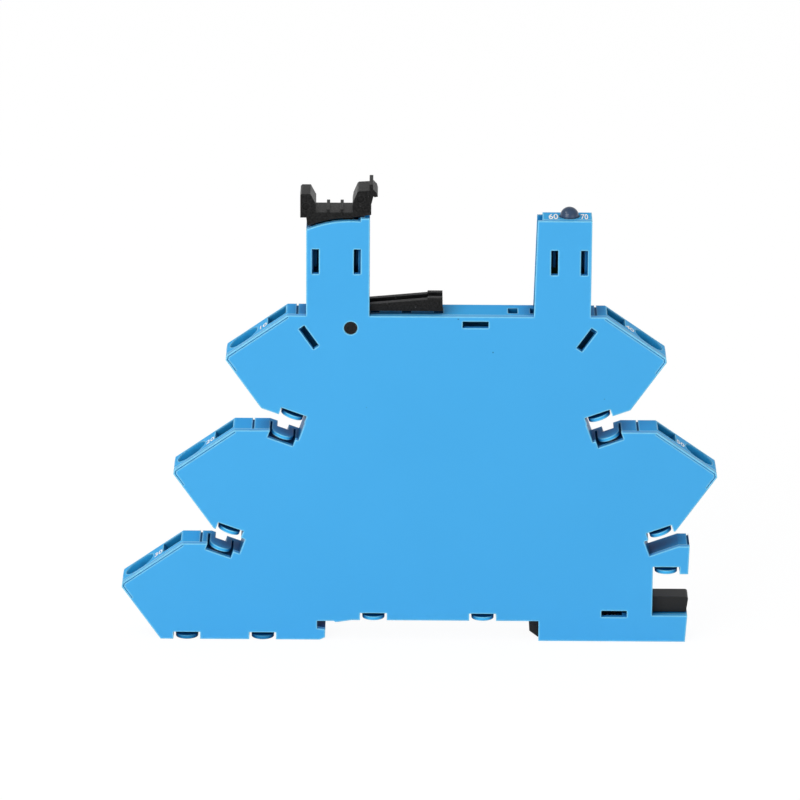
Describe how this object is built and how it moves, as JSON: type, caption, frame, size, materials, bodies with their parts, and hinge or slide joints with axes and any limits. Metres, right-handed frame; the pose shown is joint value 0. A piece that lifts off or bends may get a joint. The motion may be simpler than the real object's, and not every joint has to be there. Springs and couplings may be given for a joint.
{
  "type": "relay socket",
  "caption": "Slim DIN-rail relay socket: two-part housing with sloping spring-clamp wire arms, a relay bay between two towers, an ejector lever and a sprung rail latch",
  "frame": {"origin": "middle of the rail on the seat plane, half way through the socket's thickness", "axes": "X along the socket towards the latch foot, Y through its thickness along the rail from the cover to the rear shell, Z away from the rail"},
  "size_m": [0.0952, 0.0062, 0.0764],
  "materials": {
    "housing_blue": "moulded, light satin",
    "lever_black": "moulded, grainy, glass filled",
    "spring_steel": "bright spring steel",
    "tinned_copper": "tin plated",
    "contact_alloy": "plated copper alloy",
    "board_laminate": "green laminate",
    "lamp_lens": "dark tinted epoxy",
    "resistor_body": "coated ceramic",
    "diode_body": "glass coated"
  },
  "bodies": {
    "housing": {"base_shell": "housing_blue", "cover_shell": "housing_blue", "latch_spring": "spring_steel", "bus_bar_1": "tinned_copper", "bus_bar_2": "tinned_copper", "bus_bar_3": "tinned_copper", "bus_bar_4": "tinned_copper", "bus_bar_5": "tinned_copper", "coil_link_1": "tinned_copper", "coil_link_2": "tinned_copper", "pin_contact_1": "contact_alloy", "pin_contact_2": "contact_alloy", "pin_contact_3": "contact_alloy", "pin_contact_4": "contact_alloy", "pin_contact_5": "contact_alloy", "clamp_spring_1": "spring_steel", "clamp_spring_2": "spring_steel", "clamp_spring_3": "spring_steel", "clamp_spring_4": "spring_steel", "clamp_spring_5": "spring_steel", "circuit_board": "board_laminate", "indicator_led": "lamp_lens", "series_resistor": "resistor_body", "coil_diode": "diode_body", "guard_diode": "diode_body"},
    "lever": {"ejector_lever": "lever_black"},
    "latch": {"rail_latch": "lever_black"}
  },
  "joints": [
    {"name": "ejector_swing", "type": "hinge", "parent": "housing", "child": "lever", "pos_m": [-0.01255, 0, 0.0494], "axis": [0, -1, 0], "range_deg": [0, 14]},
    {"name": "latch_pull", "type": "slide", "parent": "housing", "child": "latch", "axis": [1, 0, 0], "range_m": [0, 0.0022], "stiffness_N_per_m": 150, "springref_m": -0.002, "deforming": ["latch_spring"]}
  ]
}
